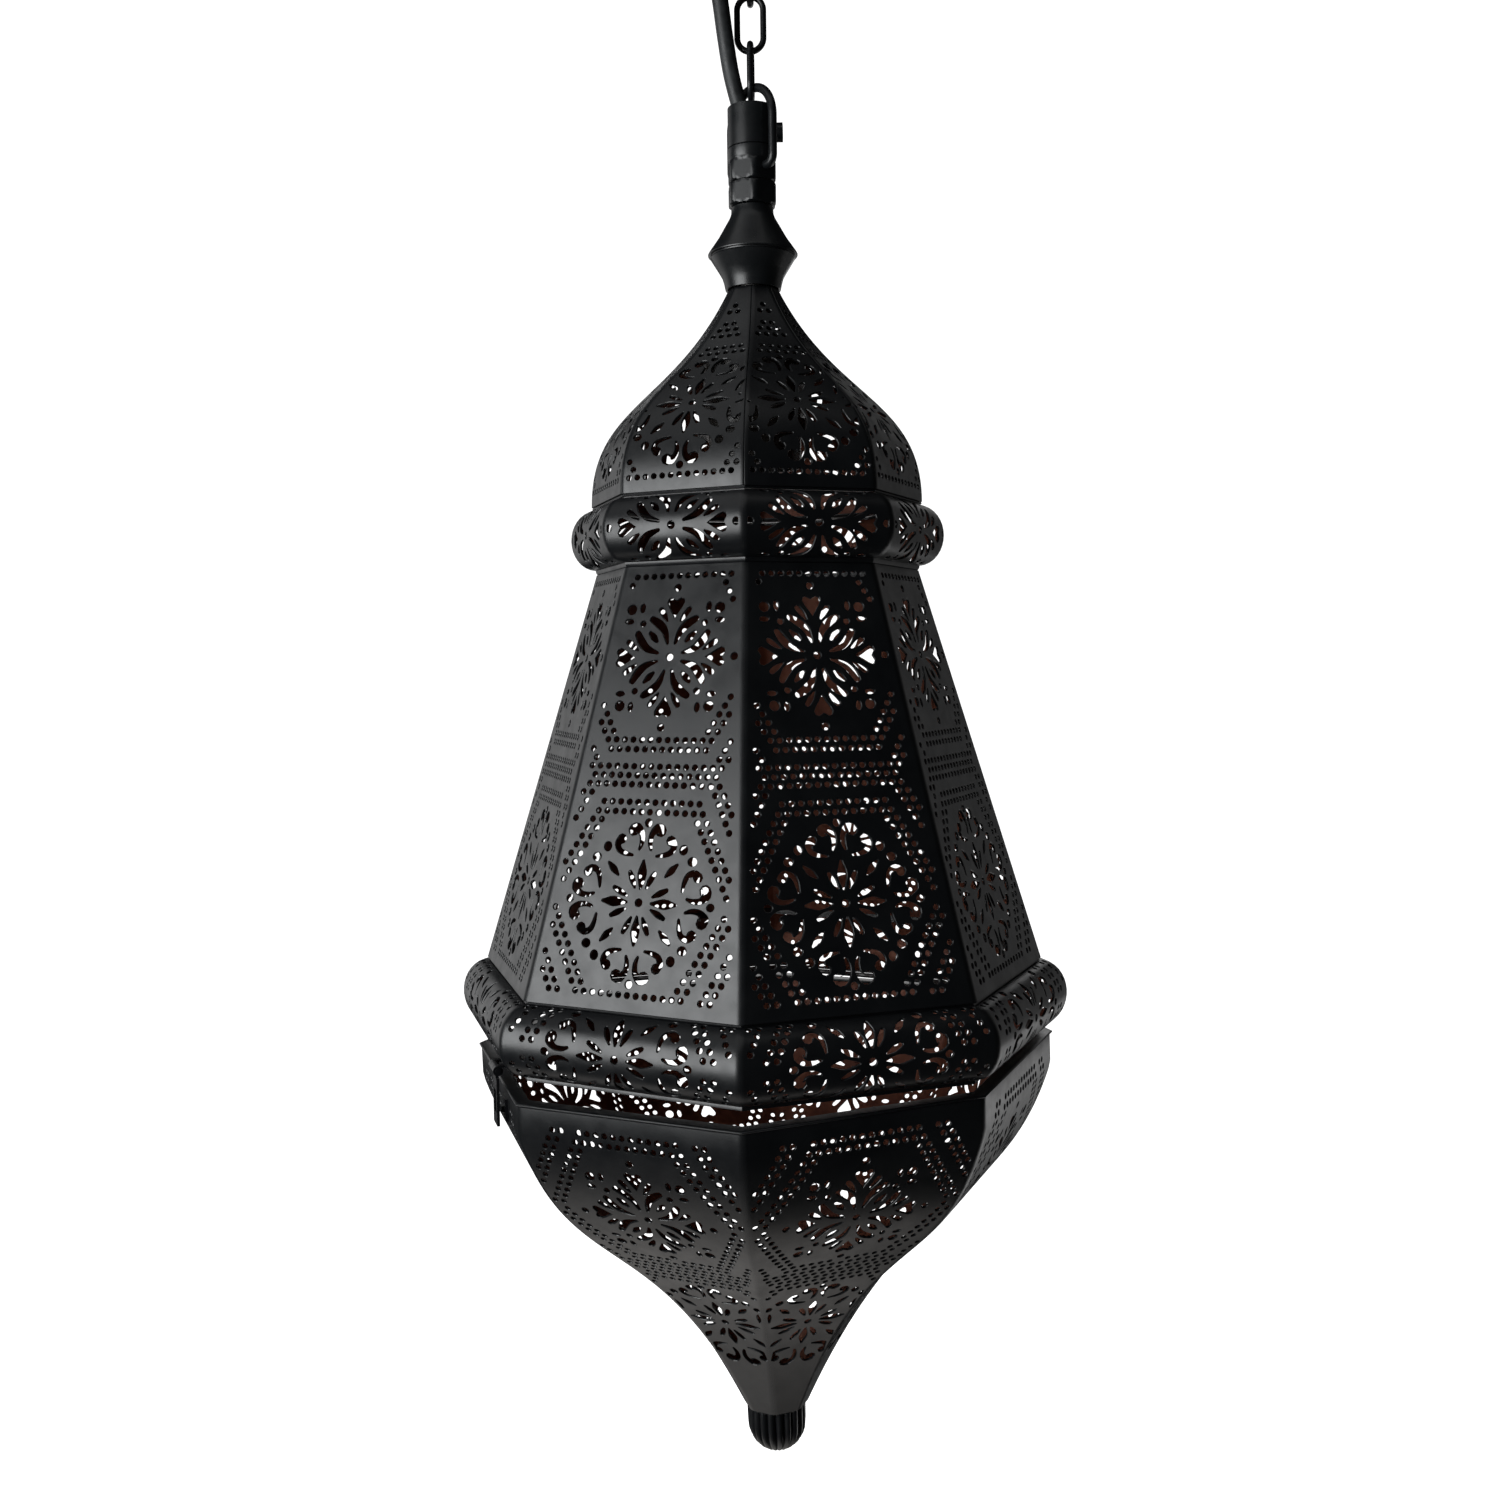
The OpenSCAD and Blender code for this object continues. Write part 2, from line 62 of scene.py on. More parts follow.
# The cord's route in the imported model's own frame: lampholder, nipple, grip, then
# beside the chain, through the canopy's bush and into the terminal block
CORD_ROUTE = [(0, 0, -185), (0, 0, -170), (0, 0, -155), (0, 0, -140), (0, 0, -128),
              (-0.5, 0, -115), (-1.5, 0, -108), (-2.8, 0, -101), (-4, -0.5, -95),
              (-7, -3, -83), (-9, -5, -70), (-11, -6, -55), (-14, -6, -43),
              (-17, -5, -34), (-19, -5, -26), (-19, -5, -13)]


# ---------------------------------------------------------------- camera, light, floor

CAMERA_FAR = 551.9  # from the lantern's axis
CAMERA_Z = 112.95
CAMERA_AZIMUTH = math.radians(3.508)  # past the corner that faces -Y
CAMERA_YAW = math.radians(0.338)
CAMERA_PITCH = math.radians(3.446)
CAMERA_ROLL = math.radians(-0.679)
LENS_MM = 34.743


def make_camera():
    data = bpy.data.cameras.new("camera")
    data.sensor_width = 36.0
    data.lens = LENS_MM
    data.clip_start = 0.01
    camera = bpy.data.objects.new("camera", data)
    bpy.context.scene.collection.objects.link(camera)
    level = Matrix.Rotation(CAMERA_AZIMUTH, 4, "Z") @ Matrix.Rotation(math.pi / 2, 4, "X")
    turn = (Matrix.Rotation(CAMERA_YAW, 4, "Y") @ Matrix.Rotation(-CAMERA_PITCH, 4, "X")
            @ Matrix.Rotation(CAMERA_ROLL, 4, "Z"))
    place = Vector((CAMERA_FAR * math.sin(CAMERA_AZIMUTH),
                    -CAMERA_FAR * math.cos(CAMERA_AZIMUTH), CAMERA_Z - DROP)) * MM
    camera.matrix_world = Matrix.Translation(place) @ level @ turn
    bpy.context.scene.camera = camera


LIGHT_AIM = (0, 0, -0.35)  # the middle of the lantern, in metres like all of the studio
BACKDROP = 1.2  # strength of the white that the camera sees behind the lantern
FILL = 0.012  # strength of the light that comes from all round
FLOOR_HALF, FLOOR_Z = 6.0, -1.25
FLOOR_EMISSION = 1.3  # keeps the pale floor as white as the backdrop


def area_light(name, place, size, watts, colour=(1, 1, 1)):
    data = bpy.data.lights.new(name, "AREA")
    data.shape = "RECTANGLE"
    data.size, data.size_y = size
    data.energy = watts
    data.color = colour
    light = bpy.data.objects.new(name, data)
    bpy.context.scene.collection.objects.link(light)
    light.location = place
    light.rotation_mode = "QUATERNION"
    light.rotation_quaternion = (Vector(LIGHT_AIM) - Vector(place)).to_track_quat("-Z", "Y")


def make_lights():
    """A wide window at the camera's left, and weak light from the walls and the floor."""
    area_light("window_left", (-1.1, -0.95, -0.27), (1.1, 0.95), 23, (0.97, 0.99, 1.0))
    area_light("wall_left", (-1.3, 1.0, -0.2), (1.2, 1.4), 3.4)
    area_light("wall_right", (1.4, 1.1, -0.2), (1.0, 1.4), 0.75)
    area_light("floor_right", (0.95, 0.75, -1.15), (0.8, 0.8), 2.2)
    area_light("back_soft", (0.1, 1.8, -0.15), (1.4, 1.2), 5)
    area_light("ceiling_left", (-0.3, -0.4, 1.1), (1.6, 1.6), 4)
    area_light("floor_glow", (-0.12, 0.1, -1.15), (0.8, 0.8), 1.1, (1.0, 0.96, 0.92))


def make_world():
    """White where the camera looks past the lantern, and a faint cool fill elsewhere."""
    world = bpy.data.worlds.new("studio")
    bpy.context.scene.world = world
    world.use_nodes = True
    tree = world.node_tree
    tree.nodes.clear()
    out = tree.nodes.new("ShaderNodeOutputWorld")
    seen = tree.nodes.new("ShaderNodeBackground")
    fill = tree.nodes.new("ShaderNodeBackground")
    mix = tree.nodes.new("ShaderNodeMixShader")
    path = tree.nodes.new("ShaderNodeLightPath")
    seen.inputs["Color"].default_value = (1, 1, 1, 1)
    seen.inputs["Strength"].default_value = BACKDROP
    fill.inputs["Color"].default_value = (0.93, 0.96, 1.0, 1)
    fill.inputs["Strength"].default_value = FILL
    tree.links.new(path.outputs["Is Camera Ray"], mix.inputs[0])
    tree.links.new(fill.outputs[0], mix.inputs[1])
    tree.links.new(seen.outputs[0], mix.inputs[2])
    tree.links.new(mix.outputs[0], out.inputs[0])
    bpy.context.scene.view_settings.view_transform = "Standard"


def make_floor():
    mesh = bpy.data.meshes.new("floor")
    corners = [(x * FLOOR_HALF, y * FLOOR_HALF, FLOOR_Z)
               for x, y in ((-1, -1), (1, -1), (1, 1), (-1, 1))]
    mesh.from_pydata(corners, [], [(0, 1, 2, 3)])
    floor = bpy.data.objects.new("floor", mesh)
    bpy.context.scene.collection.objects.link(floor)
    material, _, shader = new_material("floor_paint")
    shader.inputs["Base Color"].default_value = (0.9, 0.9, 0.89, 1)
    shader.inputs["Roughness"].default_value = 0.8
    shader.inputs["Emission Color"].default_value = (1, 1, 1, 1)
    shader.inputs["Emission Strength"].default_value = FLOOR_EMISSION
    mesh.materials.append(material)
    floor.visible_glossy = False
    floor.visible_diffuse = False


def make_studio():
    make_world()
    make_lights()
    make_floor()


# ---------------------------------------------------------------- materials

def new_material(name):
    material = bpy.data.materials.new(name)
    material.use_nodes = True
    tree = material.node_tree
    return material, tree, tree.nodes["Principled BSDF"]


def noise(tree, scale, detail=4.0, rough=0.55, distortion=0.0):
    """Noise in the object's own coordinates, scale in cells for each metre."""
    where = tree.nodes.new("ShaderNodeTexCoord")
    node = tree.nodes.new("ShaderNodeTexNoise")
    node.inputs["Scale"].default_value = scale
    node.inputs["Detail"].default_value = detail
    node.inputs["Roughness"].default_value = rough
    node.inputs["Distortion"].default_value = distortion
    tree.links.new(where.outputs["Object"], node.inputs["Vector"])
    return node.outputs["Fac"]


def ramp(tree, value, stops):
    """Colours, or single levels, between stops of (position, colour)."""
    node = tree.nodes.new("ShaderNodeValToRGB")
    while len(node.color_ramp.elements) < len(stops):
        node.color_ramp.elements.new(0.5)
    for element, (at, colour) in zip(node.color_ramp.elements, stops):
        element.position = at
        element.color = (*colour, 1) if isinstance(colour, tuple) else (colour,) * 3 + (1,)
    tree.links.new(value, node.inputs["Fac"])
    return node.outputs["Color"]


def bumps(tree, shader, layers):
    """Bump nodes in a row: (height, strength, distance in metres) for each layer."""
    last = None
    for height, strength, distance in layers:
        node = tree.nodes.new("ShaderNodeBump")
        node.inputs["Strength"].default_value = strength
        node.inputs["Distance"].default_value = distance
        tree.links.new(height, node.inputs["Height"])
        if last:
            tree.links.new(last, node.inputs["Normal"])
        last = node.outputs["Normal"]
    tree.links.new(last, shader.inputs["Normal"])


def mottled(name, colour_noise, colours, rough_noise, roughness, grain, metallic=0.0):
    """A material whose colour, roughness and fine relief each follow noise of their own.
    The noises are settings for noise(), colours and roughness are stops for ramp(), and
    grain holds (noise, strength, distance in metres) for each layer of relief."""
    material, tree, shader = new_material(name)
    shader.inputs["Metallic"].default_value = metallic
    tree.links.new(ramp(tree, noise(tree, **colour_noise), colours), shader.inputs["Base Color"])
    tree.links.new(ramp(tree, noise(tree, **rough_noise), roughness), shader.inputs["Roughness"])
    bumps(tree, shader, [(noise(tree, **relief), strength, distance)
                         for relief, strength, distance in grain])
    return material


def painted_steel(name, dark, light, rough_low, rough_high, dents):
    """Satin black paint: cloudy sheen, a fine powdery grain and shallow dents."""
    return mottled(name, dict(scale=38, detail=6), [(0.35, dark), (0.7, light)],
                   dict(scale=120, detail=5, rough=0.65), [(0.3, rough_low), (0.72, rough_high)],
                   [(dict(scale=24, detail=2), dents, 0.0012),
                    (dict(scale=2600, detail=3), 0.10, 0.00012)])


def make_materials():
    specks = dict(scale=900, detail=6, rough=0.7)
    dust = dict(scale=220, detail=6, rough=0.7)
    return {
        "outside": painted_steel("satin_black_paint", (0.0035, 0.004, 0.005),
                                 (0.008, 0.009, 0.010), 0.28, 0.41, 0.10),
        "fittings": painted_steel("black_enamel", (0.004, 0.005, 0.006),
                                  (0.010, 0.011, 0.012), 0.26, 0.42, 0.08),
        "inside": mottled("copper_brown_inside",
                          dict(scale=70, detail=7, rough=0.6, distortion=0.4),
                          [(0.3, (0.10, 0.030, 0.018)), (0.55, (0.20, 0.066, 0.036)),
                           (0.8, (0.30, 0.13, 0.075))],
                          dict(scale=300), [(0.3, 0.42), (0.7, 0.62)],
                          [(dict(scale=500), 0.15, 0.0003)], metallic=0.35),
        "zinc": mottled("dull_zinc", dict(scale=260, detail=3),
                        [(0.3, (0.42, 0.42, 0.40)), (0.7, (0.60, 0.59, 0.56))],
                        dict(scale=900), [(0.3, 0.34), (0.7, 0.52)],
                        [(dict(scale=1800), 0.12, 0.0002)], metallic=1.0),
        "bakelite": mottled("moulded_black", dict(scale=160, distortion=1.2),
                            [(0.35, (0.014, 0.013, 0.012)), (0.7, (0.032, 0.028, 0.025))],
                            dict(scale=400), [(0.3, 0.20), (0.7, 0.32)],
                            [(dict(scale=700), 0.06, 0.0002)]),
        "porcelain": mottled("unglazed_ceramic", specks,
                             [(0.3, (0.70, 0.67, 0.60)), (0.6, (0.86, 0.84, 0.78))],
                             specks, [(0.3, 0.75), (0.7, 0.6)], [(specks, 0.2, 0.0002)]),
        "cord": mottled("cord_sheath", dust,
                        [(0.35, (0.012, 0.013, 0.014)), (0.75, (0.036, 0.040, 0.042))],
                        dust, [(0.3, 0.42), (0.7, 0.6)], [(dict(scale=1500), 0.12, 0.0002)]),
    }


# ---------------------------------------------------------------- pieces from points

def to_frame(points):
    """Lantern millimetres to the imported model's metres."""
    return (np.asarray(points, float) - (0, 0, DROP)) * MM


def add_piece(name, points, faces, body, replaces, materials, index=None, smooth=None):
    """A mesh piece that rides on a body. index says which of the materials each face has,
    and smooth which faces are shaded smooth: without them, the first material and all."""
    mesh = bpy.data.meshes.new(name)
    mesh.from_pydata(to_frame(points).tolist(), [], [list(map(int, f)) for f in faces])
    for material in materials:
        mesh.materials.append(material)
    if index is not None:
        mesh.polygons.foreach_set("material_index", np.asarray(index, np.int32))
    if smooth is None:
        smooth = np.ones(len(mesh.polygons), bool)
    mesh.polygons.foreach_set("use_smooth", smooth)
    mesh.update()
    piece = bpy.data.objects.new(name, mesh)
    bpy.context.scene.collection.objects.link(piece)
    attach(piece, body)
    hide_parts(*replaces)
    return piece


def crease(piece, degrees=35):
    """Edges that bend more than this stay sharp under smooth shading."""
    piece.data.set_sharp_from_angle(angle=math.radians(degrees))
    return piece


def lathe_points(profile, steps, shape=None):
    """A closed outline of (radius, height) turned about the axis. shape(angle, r, z)
    may change the radius, as for flats or flutes."""
    points = []
    for radius, height in profile:
        for i in range(steps):
            angle = 2 * math.pi * i / steps
            r = shape(angle, radius, height) if shape else radius
            points.append((r * math.cos(angle), r * math.sin(angle), height))
    faces = []
    rows = len(profile)
    for j in range(rows):
        k = (j + 1) % rows
        for i in range(steps):
            n = (i + 1) % steps
            faces.append((j * steps + i, k * steps + i, k * steps + n, j * steps + n))
    return np.array(points), faces


def lathe(name, profile, body, replaces, material, steps=96, shape=None, move=None):
    points, faces = lathe_points(profile, steps, shape)
    if move is not None:
        points = move(points)
    return crease(add_piece(name, points, faces, body, replaces, [material]))


# ---------------------------------------------------------------- shapes of the holes

def smooth_line(values, steps):
    """Catmull-Rom curve through the rows of values, steps points to each stretch."""
    v = np.asarray(values, float)
    v = v.reshape(len(v), -1)
    padded = np.vstack([2 * v[0] - v[1], v, 2 * v[-1] - v[-2]])
    out = []
    for i in range(1, len(padded) - 2):
        a, b, c, d = padded[i - 1:i + 3]
        for t in np.arange(steps) / steps:
            out.append(0.5 * (2 * b + (c - a) * t + (2 * a - 5 * b + 4 * c - d) * t * t
                              + (3 * b - a - 3 * c + d) * t ** 3))
    out.append(v[-1])
    return np.array(out)


def oval(x, y, w, h=None, sides=12):
    """An oval round (x, y), w wide and h high, or a circle without h."""
    h = h or w
    angles = 2 * np.pi * (np.arange(sides) + 0.5) / sides
    return np.column_stack([x + w / 2 * np.cos(angles), y + h / 2 * np.sin(angles)])


CUT = 1.1  # the holes' radii against those of the drawn pattern
THIN = 0.3  # least radius of a drop's end, before CUT


def drop_shape(path, radii, steps=3):
    """Outline of a bent drop: a curved line with a radius at each of its points."""
    line = smooth_line(path, steps)
    radius = smooth_line(radii, steps).clip(THIN) * CUT
    along = np.gradient(line, axis=0)
    along /= np.linalg.norm(along, axis=1)[:, None]
    left = np.column_stack([-along[:, 1], along[:, 0]])
    caps = []
    for end, sign in ((-1, 1), (0, -1)):
        for t in (math.pi / 4, math.pi / 2, 3 * math.pi / 4):
            caps.append(line[end] + radius[end] * sign
                        * (left[end] * math.cos(t) + along[end] * math.sin(t)))
    return np.vstack([line + left * radius, caps[:3], (line - left * radius)[::-1], caps[3:]])


def mirrored_outline(half):
    """Closed outline from the right half of a shape that is symmetrical about x = 0."""
    half = np.asarray(half, float)
    return np.vstack([half, (half * (-1, 1))[-2:0:-1]])


def quarters(shapes):
    """Each shape four times, a quarter turn apart."""
    turns = [np.array([[c, s], [-s, c]]) for c, s in ((1, 0), (0, 1), (-1, 0), (0, -1))]
    return [shape @ turn for turn in turns for shape in shapes]


def octants(shapes):
    """Each shape and its mirror image, four times."""
    return quarters(list(shapes) + [shape * (-1, 1) for shape in shapes])


DOT = 2.45  # diameter of the dots
DOT_LIMIT = 2.9  # a hole up to this size counts as a dot
PITCH = 3.33  # between the dots of a row
BAND_ROW = 3.1  # between the rows of a band
HEX_ROW = 3.3  # between the two rows above or below a flower
HEX_LINES = (18.3, 21.9)  # where the two slanted lines start, from the middle
HEX_DROP, HEX_LEAN = 3, 1.72  # from dot to dot along them, down and across
NEXT_LINES = (23.7, 27.1)  # the same for the lines of the next hexagons
NEXT_DROP, NEXT_LEAN = 3.05, 1.68
NEXT_RISE = 6.3  # how far above the inner row those start
HEART = [(0, 13.6), (1.3, 15.6), (2.7, 17.7), (3.5, 19.4), (3.1, 20.7), (1.8, 21.2), (0, 20.2)]


def flower():
    """Four hearts in a cross, with crescents between them."""
    once = [mirrored_outline(HEART), oval(0, 24.7, 3.0),
            drop_shape([(5.7, 5.7), (7.1, 7.1), (8.7, 8.7)], [0.7, 1.2, 0.7]),
            oval(12, 12, 2.6), oval(17.2, 17.2, 4.0, sides=16)]
    twice = [drop_shape([(1.5, 4.9), (2.9, 8.9), (5.2, 11.5), (8.4, 13.5)], [0.6, 1.2, 1.5, 1.2]),
             drop_shape([(2.6, 12.8), (3.9, 14.8), (5.4, 16.8)], [0.45, 1.0, 1.05]),
             oval(12.9, 17.6, 2.3, 3.8)]
    return [oval(0, 0, 3.1)] + quarters(once) + octants(twice)


def rosette():
    """Twelve petals inside a ring of eight pairs of scrolls."""
    once = [drop_shape([(0, 4.7), (0, 9.6), (0, 13.9)], [0.5, 1.65, 0.55]),
            oval(0, 26.7, 3.0, 3.2),
            drop_shape([(8.9, 9.1), (10.8, 11.1), (12.8, 13.2)], [0.5, 1.2, 0.55])]
    twice = [drop_shape([(2.2, 5.0), (3.4, 7.5), (4.6, 9.9)], [0.5, 1.05, 0.8]),
             drop_shape([(5.2, 24.2), (3.8, 24.9), (1.9, 22.9), (1.6, 20.0), (2.2, 17.8)],
                        [2.0, 1.6, 1.05, 0.85, 0.55]),
             drop_shape([(9.4, 21.0), (10.7, 19.4), (9.9, 17.3), (7.6, 16.2), (4.6, 15.7)],
                        [1.7, 1.2, 1.0, 0.85, 0.5]),
             oval(14.5, 18.2, 3.4, 3.7)]
    return [oval(0, 0, 3.1)] + quarters(once) + octants(twice)


def dot_row(y, count):
    return [oval((i - (count - 1) / 2) * PITCH, y, DOT) for i in range(count)]


def honeycomb(inner_row):
    """Dots of the hexagon round one flower or rosette: two rows above and below it, two
    slanted lines at each side, and the nearer lines of the next hexagons."""
    dots = []
    for side in (-1, 1):
        dots += dot_row(side * inner_row, 13) + dot_row(side * (inner_row + HEX_ROW), 12)
        for mirror in (-1, 1):
            for i in range(9):
                y = side * (inner_row - HEX_DROP - HEX_DROP * i)
                dots += [oval(mirror * (x + HEX_LEAN * i), y, DOT) for x in HEX_LINES]
            for i in range(11):
                y = side * (inner_row + NEXT_RISE - NEXT_DROP * i)
                dots += [oval(mirror * (x + NEXT_LEAN * i), y, DOT) for x in NEXT_LINES]
    return dots


def band(y):
    """Three rows of dots between two hexagons."""
    return dot_row(y + BAND_ROW, 16) + dot_row(y, 15) + dot_row(y - BAND_ROW, 16)


def placed(shapes, y, scale=(1.0, 1.0)):
    """Shapes scaled and then moved up by y, with the sheet's top edge at 0."""
    return [shape * scale + (0, y) for shape in shapes]


# ---------------------------------------------------------------- pierced bent sheets

FOLD = 4.2  # outer radius of the fold at each corner
FOLD_LINES = (1.0, 0.67, 0.33)  # where lines of edges run along a fold, from its start
SEAM = 0.01  # half the gap at a seam
RIM = [(0.06, 0.05), (0.18, 0.24)]  # how a cut edge is rounded: outwards, and down
RIM_OUT = RIM[-1][0]
LEAST_AREA = 1e-7  # of a triangle, in square millimetres


class Outline:
    """The line that a sheet follows, from its top to its bottom edge, seen from the
    side: distance of the face from the axis, and height. groove is how far the cut edges
    at the corner seams are rounded, as a share of RIM."""

    def __init__(self, points, groove=0.0):
        points = np.asarray(points, float)
        self.groove = groove
        step = np.hypot(*np.diff(points, axis=0).T)
        self.s = np.concatenate([[0], np.cumsum(step)])
        self.length = self.s[-1]
        self.a, self.z = points.T
        angle = np.unwrap(np.arctan2(*np.diff(points, axis=0).T[::-1]))
        middle = (self.s[1:] + self.s[:-1]) / 2
        self.angle = np.interp(self.s, middle, angle)
        self.angle[0], self.angle[-1] = angle[0], angle[-1]

    def at(self, s):
        """Distance, height and slope of the line, s along it from its top."""
        s = np.clip(s, 0, self.length)
        angle = np.interp(s, self.s, self.angle)
        return np.interp(s, self.s, self.a), np.interp(s, self.s, self.z), angle

    def half_width(self, s):
        return np.interp(s, self.s, self.a) * math.tan(HALF)

    def inset(self):
        """How far short of the seam the sheet's outer face ends."""
        return SEAM + self.groove * RIM_OUT


def bezier(p, steps):
    """Points of the cubic curve with four control points."""
    p = np.asarray(p, float)
    t = np.linspace(0, 1, steps + 1)[:, None]
    return ((1 - t) ** 3 * p[0] + 3 * (1 - t) ** 2 * t * p[1] + 3 * (1 - t) * t * t * p[2]
            + t ** 3 * p[3])


def over_flats(points):
    """Radii over the corners to distances of the faces from the axis."""
    return np.asarray(points, float) * (math.cos(HALF), 1)


def half_oval(radius, middle, out, height, steps=28):
    """Half an oval that stands out from a radius, from its top to its bottom."""
    t = np.linspace(math.pi / 2, -math.pi / 2, steps + 1)
    return np.column_stack([radius + out * np.cos(t), middle + height / 2 * np.sin(t)])


def bend(outline, u, s, depth):
    """Flat sheet to the lantern's first face, which looks along +X. u runs across, s down
    from the top edge, depth into the sheet. The sheet folds halfway round each corner.
    Returns places, and the sheet's outward normals there."""
    a, z, angle = outline.at(s)
    out_x, out_z = -np.sin(angle), np.cos(angle)
    flip = np.where(out_x < 0, -1, 1)
    out_x, out_z = out_x * flip, out_z * flip
    width = a * math.tan(HALF)
    flat = FOLD * math.tan(HALF)
    share = ((flat - (width - np.abs(u))) / flat).clip(0, 1.1)
    turn = share * HALF
    side = np.sign(u)
    y = np.where(share > 0, side * (width - flat + FOLD * np.sin(turn)), u)
    x = a - FOLD * (1 - np.cos(turn)) * (share > 0)
    normals = np.column_stack([out_x * np.cos(turn), out_x * np.sin(turn) * side, out_z])
    return np.column_stack([x, y, z]) - depth[:, None] * normals, normals


def within(shape, places):
    """Which of the places lie inside a closed shape, by the crossings to their right."""
    start, end = shape, np.roll(shape, -1, axis=0)
    x, y = places[:, :1], places[:, 1:]
    spans = (start[:, 1] > y) != (end[:, 1] > y)
    rise = np.where(end[:, 1] == start[:, 1], 1, end[:, 1] - start[:, 1])
    cut = start[:, 0] + (y - start[:, 1]) * (end[:, 0] - start[:, 0]) / rise
    return np.sum(spans & (cut > x), axis=1) % 2 == 1


SAME_PLACE = 0.12  # points nearer to each other than this are merged after a cut
LEAST_WIDTH = 0.9  # of a hole that is cut short
LEAST_GAP = 0.5  # between two holes


def keep_holes(holes, outline, side_margin, top, bottom, dot_margin=2.2):
    """Holes that lie on the sheet between top and bottom: dots near an edge are left out,
    larger holes are cut short there, and a hole too close to an earlier one is left out."""
    kept = []
    for hole in holes:
        low, high = hole.min(0), hole.max(0)
        middle = (low + high) / 2
        if middle[1] > -top or middle[1] < -bottom:
            continue
        limit = outline.half_width(-middle[1]) - side_margin
        dot = (high - low).max() < DOT_LIMIT
        if dot and abs(middle[0]) > limit + side_margin - dot_margin:
            continue
        if max(abs(low[0]), abs(high[0])) > limit:
            hole = hole.copy()
            hole[:, 0] = hole[:, 0].clip(-limit, limit)
            same = np.all(np.abs(hole - np.roll(hole, 1, axis=0)) < SAME_PLACE, axis=1)
            hole = hole[~same]
            uncut = np.abs(hole[:, 0]) < limit - 0.05
            if uncut.sum() < 4 or np.ptp(hole[:, 0]) < LEAST_WIDTH:
                continue
        near = [other for other in kept if np.all(other.min(0) < high + LEAST_GAP)
                and np.all(other.max(0) > low - LEAST_GAP)]
        if all(np.linalg.norm(hole[:, None] - other, axis=2).min() >= LEAST_GAP
               for other in near):
            kept.append(hole)
    return kept


def flat_sheet(outline, holes, row_step):
    """Points and triangles of the flat pierced sheet, in (across, up) with the top edge
    at 0. Lines of edges run across it, row_step apart, and along both folds, so that it
    can be bent."""
    inset = outline.inset()
    rows = max(2, round((outline.length - 2 * RIM_OUT) / row_step))
    s = np.linspace(RIM_OUT, outline.length - RIM_OUT, rows + 1)
    half = outline.half_width(s) - inset
    points = [(h, -v) for h, v in zip(half, s)] + [(-h, -v) for h, v in zip(half, s)][::-1]
    count = len(points)
    edges = [(i, count - 1 - i) for i in range(1, rows)]
    edges += [(i, (i + 1) % count) for i in range(count)]
    for share in FOLD_LINES:
        inward = FOLD * math.tan(HALF) * share
        for sign in (-1, 1):
            start = len(points)
            points += [(sign * (h + inset - inward), -v) for h, v in zip(half, s)]
            edges += [(start + i, start + i + 1) for i in range(rows)]
    for hole in holes:
        start = len(points)
        points += [tuple(p) for p in hole]
        edges += [(start + i, start + (i + 1) % len(hole)) for i in range(len(hole))]
    made = delaunay_2d_cdt([Vector(p) for p in points], edges, [], 0, 1e-5)
    flat, tris = np.array([tuple(p) for p in made[0]]), np.array(made[2])
    middles = flat[tris].mean(axis=1)
    keep = within(np.array(points[:count]), middles)
    for hole in holes:
        near = np.flatnonzero(np.all((middles > hole.min(0)) & (middles < hole.max(0)), axis=1))
        keep[near[within(hole, middles[near])]] = False
    tris = tris[keep]
    a, b, c = flat[tris[:, 0]], flat[tris[:, 1]], flat[tris[:, 2]]
    area = np.cross(b - a, c - a)
    tris[area < 0] = tris[area < 0][:, ::-1]
    used, tris = np.unique(tris[np.abs(area) > LEAST_AREA], return_inverse=True)
    return flat[used], tris.reshape(-1, 3)


def rim_edges(tris):
    """Directed edges that only one triangle has: the sheet's outline and its holes."""
    directed = np.vstack([tris[:, [0, 1]], tris[:, [1, 2]], tris[:, [2, 0]]])
    size = tris.max() + 1
    key = directed[:, 0] * size + directed[:, 1]
    back = directed[:, 1] * size + directed[:, 0]
    return directed[~np.isin(key, back)]


